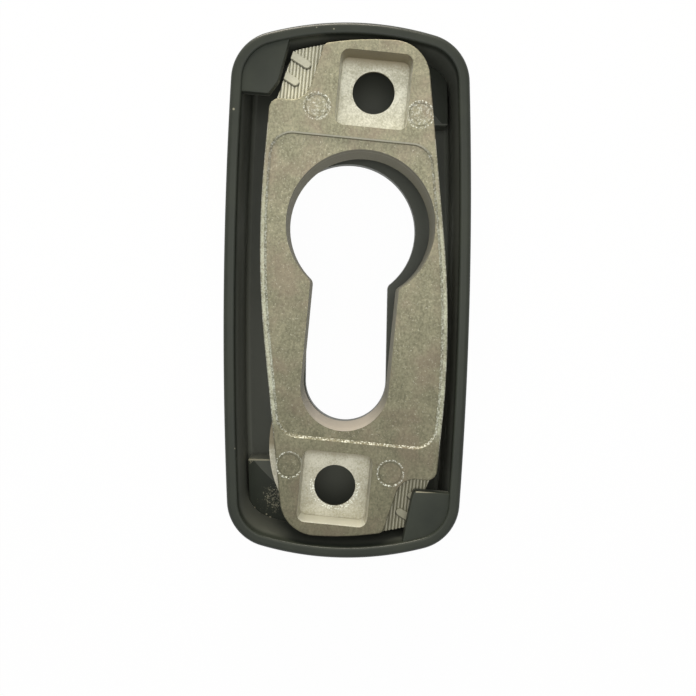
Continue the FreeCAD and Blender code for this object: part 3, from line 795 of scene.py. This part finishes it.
@dataclass
class Cover:
    """The hollow black cover: one swept shell, two corner lugs and two floor pads."""

    finish: bpy.types.Material
    body: str = "cover_shell"
    middle: tuple = (0.0, -8.5)
    outline: Oblong = field(default_factory=lambda: Oblong(30.56, 66.35, 530.0, 38.5, 5.95))
    keyhole: Keyhole = field(default_factory=lambda: Keyhole(9.25, 11.2, 35.5, 1.0))
    depth: float = 12.3
    front_wall: float = 1.7
    rim_wall: float = 1.42
    front_round: float = 2.2
    rim_round: float = 0.6
    mouth_round: float = 0.28
    floor_round: float = 0.7
    key_edge_round: float = 0.25
    around: int = 720
    upper_lug: tuple = ((6.9, 33.17), (8.8, 26.0), (9.98, 24.4), (15.28, 24.4))
    lower_lug: tuple = ((7.12, 33.17), (8.6, 25.3), (8.88, 24.5), (15.28, 24.5))
    lug_depths: tuple = (0.3, 1.7)
    pad_points: tuple = ((-5.8, 33.17), (-5.8, 22.5), (-13.01, 22.5), (-13.01, 33.17))
    pad_depth: float = 7.35
    block_edge: float = 0.12
    block_corner: float = 0.3
    # How close the points beside a round stand to it, so that the flat stays flat.
    margin: float = 0.12
    key_margin: float = 0.1
    # Steps in the rounds of the front, rim, mouth and floor, and points on the outer wall, rim and inner wall.
    round_steps: tuple = (12, 8, 4, 7)
    straight_points: tuple = (10, 3, 12)
    edge_steps: int = 4
    # Where the rings of the floor and of the front lie between the shell's section and the keyhole's edge.
    floor_shares: tuple = (0.25, 0.5, 0.75, 0.97)
    front_shares: tuple = (0.03, 0.3, 0.6)
    wall_points: int = 40
    wall_tries: int = 400

    def profile(self) -> list[tuple[float, float]]:
        """Inset and depth of the shell's section, from the front face round the rim and in to the floor.

        Each round of radius r about (a, b) is (a - r cos t, b - r sin t), and the straight parts have a few
        points each.
        """
        front, rim, edge, low = self.front_round, self.rim_round, self.mouth_round, self.floor_round
        front_turn, rim_turn, edge_turn, low_turn = (sweep(0, 90, steps) for steps in self.round_steps)
        outside, on_rim, inside = self.straight_points
        inner, near, floor = self.rim_wall, self.margin, self.depth - self.front_wall
        parts = [(front + near, self.depth)]
        parts += [(front - front * math.sin(t), self.depth - front + front * math.cos(t)) for t in front_turn]
        parts += [(0.0, d) for d in np.linspace(self.depth - front - near, rim + near, outside)]
        parts += [(rim - rim * math.cos(t), rim - rim * math.sin(t)) for t in rim_turn]
        parts += [(d, 0.0) for d in np.linspace(rim + near, inner - edge - near, on_rim)]
        parts += [(inner - edge + edge * math.sin(t), edge - edge * math.cos(t)) for t in edge_turn]
        parts += [(inner, d) for d in np.linspace(edge + near, floor - low - near, inside)]
        parts += [(inner + low - low * math.cos(t), floor - low + low * math.sin(t)) for t in low_turn]
        parts.append((inner + low + near, floor))
        return parts

    def shell(self) -> bpy.types.Object:
        """Makes the shell as one closed tube: section carried round the outline, floor, keyhole wall and front.

        A ring of the section is the outline moved inwards by the inset along its normals. A ring of the floor
        or the front is a blend of the outline and the keyhole's edge, (1 - f) P + f K.
        """
        angles = np.linspace(0, 2 * math.pi, self.around, endpoint=False) + 0.25 * math.pi / self.around
        plan, normals = self.outline.at(angles)
        key, key_normals = self.keyhole.at(angles)
        rings = [place(plan - normals * inset, d, self.middle) for inset, d in self.profile()]
        floor = self.depth - self.front_wall
        inner = plan - normals * self.profile()[-1][0]
        rings += [place(inner * (1 - f) + key * f, floor, self.middle) for f in self.floor_shares]
        edge, near = self.key_edge_round, self.key_margin
        rings += [place(key, d, self.middle) for d in (floor, floor + near, self.depth - edge - near)]
        rings += [place(key + key_normals * (edge - edge * math.cos(t)), self.depth - edge + edge * math.sin(t),
                        self.middle) for t in sweep(0, 90, self.edge_steps)]
        outer = plan - normals * self.profile()[0][0]
        lip = key + key_normals * edge
        rings += [place(lip * (1 - f) + outer * f, self.depth, self.middle) for f in self.front_shares]
        return ring_piece("cover_shell", rings, closed=True)

    def in_wall(self, inner: tuple, outer: tuple) -> float:
        """Polar angle at which a line between two plan points crosses the middle of the rim's wall.

        The line is tried at even steps for the one whose point stands nearest to the outline moved inwards by
        half the rim's wall.
        """
        steps = np.linspace(0, 1, self.wall_tries)[:, None]
        tried = np.array(inner) * (1 - steps) + np.array(outer) * steps
        angles = np.arctan2(tried[:, 1], tried[:, 0])
        wall, normals = self.outline.at(angles)
        gaps = np.linalg.norm(tried - wall + normals * self.rim_wall / 2, axis=1)
        return float(angles[gaps.argmin()])

    def block(self, name: str, corners: tuple, depths: tuple[float, float], way: int) -> bpy.types.Object:
        """Makes a raised block of the cover that grows out of its wall.

        Its plan runs from the wall through the corners and back along the outline moved inwards by half the
        rim's wall.

        Args:
            name: the piece's name.
            corners: corners (x, z) about the middle, the first and the last of them beyond the wall.
            depths: depths of its back and its front.
            way: 1, or -1 for the same block half a turn away.

        Returns:
            The new object.
        """
        start = self.in_wall(corners[1], corners[0])
        end = self.in_wall(corners[-2], corners[-1])
        wall, wall_normals = self.outline.at(np.linspace(end, start, self.wall_points))
        wall = wall - wall_normals * self.rim_wall / 2
        inner = soften(np.concatenate([wall[-1:], np.array(corners[1:-1]), wall[:1]]), self.block_corner)
        plan = np.concatenate([inner, wall[1:-1]])
        normals = plan_normals(plan)
        edge, turn = self.block_edge, sweep(0, 90, self.edge_steps)
        back, front = depths
        section = [(edge - edge * math.sin(t), back + edge - edge * math.cos(t)) for t in turn]
        section += [(edge - edge * math.cos(t), front - edge + edge * math.sin(t)) for t in turn]
        rings = [place((plan - normals * inset) * way, d, self.middle) for inset, d in section]
        return ring_piece(name, rings, closed=False)

    def build(self) -> None:
        """Makes and dresses every piece of the cover."""
        floor = self.depth - self.front_wall / 2
        pieces = [self.shell()]
        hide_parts("cover")
        for tag, lug, way in (("upper", self.upper_lug, 1), ("lower", self.lower_lug, -1)):
            pieces.append(self.block("lug_" + tag, lug, self.lug_depths, way))
            pieces.append(self.block("pad_" + tag, self.pad_points, (self.pad_depth, floor), way))
        for piece in pieces:
            piece.data.materials.append(self.finish)
            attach(piece, self.body)
            LOG.info("%s: %d faces", piece.name, len(piece.data.polygons))


def soften(corners: Points, radius: float, steps: int = 6) -> Points:
    """Rounds the inner corners of an open line with quadratic curves.

    A corner B between A and C becomes (1 - t)^2 P + 2 t (1 - t) B + t^2 Q, with P and Q the radius away on its
    two sides.

    Args:
        corners: the line's corners, n by 2.
        radius: how far from each corner its curve starts.
        steps: steps in each curve.

    Returns:
        Points of the softened line.
    """
    t = np.linspace(0, 1, steps + 1)[:, None]
    parts = [corners[:1]]
    for a, b, c in zip(corners[:-2], corners[1:-1], corners[2:]):
        p = b + (a - b) / np.linalg.norm(a - b) * radius
        q = b + (c - b) / np.linalg.norm(c - b) * radius
        parts.append((1 - t) ** 2 * p + 2 * t * (1 - t) * b + t ** 2 * q)
    parts.append(corners[-1:])
    return np.concatenate(parts)


def plan_normals(plan: Points) -> Points:
    """Outward unit normals of a closed line of plan points: its chords turned by a right angle."""
    chords = np.roll(plan, -1, axis=0) - np.roll(plan, 1, axis=0)
    normals = np.c_[chords[:, 1], -chords[:, 0]]
    normals /= np.linalg.norm(normals, axis=1)[:, None]
    x, z = plan[:, 0], plan[:, 1]
    area = (x * np.roll(z, -1) - z * np.roll(x, -1)).sum()
    return normals if area > 0 else -normals


@dataclass
class SubPlate:
    """The die-cast sub-plate: the frame's solid with its facets joined."""

    finish: bpy.types.Material
    body: str = "sub_plate"
    node: str = "base_plate"
    merge: float = 0.0005
    flat_weight: int = 90

    def casting(self) -> bpy.types.Object:
        """Makes a copy of the solid's mesh with its doubles merged and its face normals weighed by area."""
        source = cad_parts[self.node]
        mesh = source.data.copy()
        mesh.materials.clear()
        piece = bpy.data.objects.new("sub_plate_casting", mesh)
        bpy.context.scene.collection.objects.link(piece)
        if mesh.has_custom_normals:
            with bpy.context.temp_override(object=piece, active_object=piece, selected_objects=[piece]):
                bpy.ops.mesh.customdata_custom_splitnormals_clear()
        weld(mesh, self.merge * MM)
        shade(mesh, Shading.CRISP)
        even = piece.modifiers.new("even_flats", "WEIGHTED_NORMAL")
        even.mode = "FACE_AREA"
        even.weight = self.flat_weight
        even.keep_sharp = True
        return piece

    def build(self) -> None:
        """Makes and dresses the casting."""
        piece = self.casting()
        piece.data.materials.append(self.finish)
        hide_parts(self.node)
        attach(piece, self.body)
        LOG.info("%s: %d faces", piece.name, len(piece.data.polygons))


def weld(mesh: bpy.types.Mesh, distance: float) -> None:
    """Merges a mesh's vertices that lie within a distance of each other."""
    work = bmesh.new()
    work.from_mesh(mesh)
    bmesh.ops.remove_doubles(work, verts=work.verts, dist=distance)
    work.to_mesh(mesh)
    work.free()
    mesh.update()


@dataclass(frozen=True)
class Lamp:
    """An area lamp that looks at a target. Its places and its width and height are in metres."""

    name: str
    where: tuple
    target: tuple
    size: tuple
    watts: float
    colour: str

    def build(self) -> None:
        """Makes the lamp, turned so that its own -z runs to the target."""
        data = bpy.data.lights.new(self.name, "AREA")
        data.shape = "RECTANGLE"
        data.size, data.size_y = self.size
        data.energy = self.watts
        data.color = linear(self.colour)[:3]
        lamp = bpy.data.objects.new(self.name, data)
        lamp.location = self.where
        lamp.rotation_euler = (Vector(self.target) - Vector(self.where)).to_track_quat("-Z", "Y").to_euler()
        bpy.context.scene.collection.objects.link(lamp)


@dataclass
class Stage:
    """The card that the object lies on, its lamps, the world and the camera."""

    card_finish: bpy.types.Material
    card_depth: float = 12.32
    card_half: float = 400.0
    # The camera: place, tilt below level and roll, focal length in pixels and the optical axis in the image.
    camera_place: tuple = (-0.389, 88.0, -7.54)
    camera_tilt: float = 2.58
    camera_roll: float = 0.984
    focal_px: float = 713.0
    axis_px: tuple = (350.0, 319.0)
    image_px: float = 696.0
    sensor_mm: float = 36.0
    clip_m: float = 0.001
    # A lamp near the camera's axis that lights the narrow gaps, a window above and a room's light behind.
    lamps: tuple = (
        Lamp("near_front", (0.0, 0.108, -0.004), (0, 0, -0.008), (0.09, 0.09), 0.071, "#fffdf6"),
        Lamp("top_window", (0.06, 0.07, 0.36), (0, 0, -0.01), (0.3, 0.12), 2.2, "#fff6e6"),
        Lamp("room_side", (0.1, -0.35, 0.3), (0, 0, -0.01), (0.4, 0.3), 1.8, "#ffffff"))
    room_colour: str = "#fbfbff"
    room_level: float = 0.4
    background: str = "#ffffff"

    def card(self) -> None:
        """Makes the card, facing the camera side."""
        half = self.card_half
        plan = np.array([(-half, -half), (-half, half), (half, half), (half, -half)], float)
        points = place(plan, self.card_depth, (0.0, 0.0))
        card = make_piece("card", points, [[0, 1, 2, 3]])
        card.data.materials.append(self.card_finish)

    def world(self) -> None:
        """Makes the world: even soft light, and white where the camera or a reflection looks past the piece."""
        world = bpy.data.worlds.new("soft_room")
        world.use_nodes = True
        tree = world.node_tree
        tree.nodes.clear()
        room = add_node(tree, "Background", linear(self.room_colour), self.room_level)
        white = add_node(tree, "Background", linear(self.background), 1.0)
        add_node(tree, "OutputWorld", add_node(tree, "MixShader", seen_rays(tree), room, white))
        bpy.context.scene.world = world

    def camera(self) -> None:
        """Places the camera: it looks along -y from the door's side, tilted down and rolled.

        Its axes are right r, up u and back b = r x u, the columns of its matrix. Its lens is the focal length
        in pixels times the sensor's width over the image's.
        """
        roll, tilt = math.radians(self.camera_roll), math.radians(self.camera_tilt)
        right = Vector((-math.cos(roll), 0, math.sin(roll)))
        level_up = Vector((math.sin(roll), 0, math.cos(roll)))
        back = Vector((0, math.cos(tilt), 0)) + level_up * math.sin(tilt)
        up = back.cross(right)
        data = bpy.data.cameras.new("camera")
        data.sensor_width = self.sensor_mm
        data.lens = self.focal_px * data.sensor_width / self.image_px
        data.shift_x = (self.image_px / 2 - self.axis_px[0]) / self.image_px
        data.shift_y = (self.axis_px[1] - self.image_px / 2) / self.image_px
        data.clip_start = self.clip_m
        camera = bpy.data.objects.new("camera", data)
        camera.matrix_world = Matrix.Translation(Vector(self.camera_place) * MM) @ Matrix(
            [right, up, back]).transposed().to_4x4()
        bpy.context.scene.collection.objects.link(camera)
        bpy.context.scene.camera = camera

    def build(self) -> None:
        """Makes the whole stage."""
        self.card()
        for lamp in self.lamps:
            lamp.build()
        self.world()
        self.camera()
        bpy.context.scene.view_settings.view_transform = "Standard"
        LOG.info("stage made")


def main() -> None:
    """Builds the object and its stage in order."""
    logging.basicConfig(level=logging.INFO)
    Cover(MouldedPolyamide().build()).build()
    SubPlate(CastZinc().build()).build()
    Stage(PaleTable().build()).build()


if __name__ == "__main__":
    main()
